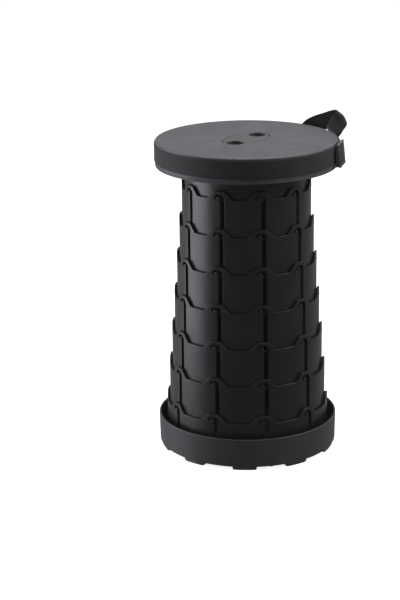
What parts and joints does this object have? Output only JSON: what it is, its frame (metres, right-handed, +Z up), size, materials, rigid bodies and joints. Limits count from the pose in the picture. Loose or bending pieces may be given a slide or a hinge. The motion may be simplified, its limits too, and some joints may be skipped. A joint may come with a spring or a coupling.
{
  "type": "telescopic stool",
  "caption": "Round camp stool of nested plastic rings that telescope between a wide foot tray and a flat seat, with a webbing carry handle and buckle on the seat's side.",
  "frame": {"origin": "point where the stool's axis meets the ground it stands on", "axes": "+Z up along the stool's axis; -Y is the front, the side seen in the reference view; the carrying handle is on the +X +Y side"},
  "size_m": [0.2669, 0.2543, 0.4612],
  "materials": {
    "ring_plastic": "satin",
    "base_plastic": "satin",
    "seat_plastic": "satin",
    "insert_plastic": "satin",
    "webbing": "matte",
    "buckle_plastic": "satin",
    "pad_rubber": "matte",
    "screw_steel": "satin"
  },
  "bodies": {
    "base": {"base_tray": "base_plastic", "foot_pads": "pad_rubber", "base_screws": "screw_steel", "ring_8": "ring_plastic"},
    "ring_7": {"ring_7": "ring_plastic"},
    "ring_6": {"ring_6": "ring_plastic"},
    "ring_5": {"ring_5": "ring_plastic"},
    "ring_4": {"ring_4": "ring_plastic"},
    "ring_3": {"ring_3": "ring_plastic"},
    "ring_2": {"ring_2": "ring_plastic"},
    "seat": {"ring_1": "ring_plastic", "seat_plate": "seat_plastic", "seat_screws": "screw_steel", "finger_insert": "insert_plastic", "rim_strap": "webbing", "handle_strap": "webbing"},
    "buckle": {"buckle": "buckle_plastic", "buckle_webbing": "webbing"}
  },
  "joints": [
    {"name": "ring_7_slide", "type": "slide", "parent": "base", "child": "ring_7", "axis": [0, 0, 1], "range_m": [-0.0509, 0]},
    {"name": "ring_6_slide", "type": "slide", "parent": "ring_7", "child": "ring_6", "axis": [0, 0, 1], "range_m": [-0.0509, 0]},
    {"name": "ring_5_slide", "type": "slide", "parent": "ring_6", "child": "ring_5", "axis": [0, 0, 1], "range_m": [-0.0509, 0]},
    {"name": "ring_4_slide", "type": "slide", "parent": "ring_5", "child": "ring_4", "axis": [0, 0, 1], "range_m": [-0.0509, 0]},
    {"name": "ring_3_slide", "type": "slide", "parent": "ring_4", "child": "ring_3", "axis": [0, 0, 1], "range_m": [-0.0509, 0]},
    {"name": "ring_2_slide", "type": "slide", "parent": "ring_3", "child": "ring_2", "axis": [0, 0, 1], "range_m": [-0.0509, 0]},
    {"name": "seat_slide", "type": "slide", "parent": "ring_2", "child": "seat", "axis": [0, 0, 1], "range_m": [-0.0509, 0]},
    {"name": "buckle_slide", "type": "hinge", "parent": "seat", "child": "buckle", "pos_m": [0, 0, 0.4214], "axis": [0, 0, 1], "range_deg": [-8, 4]}
  ]
}
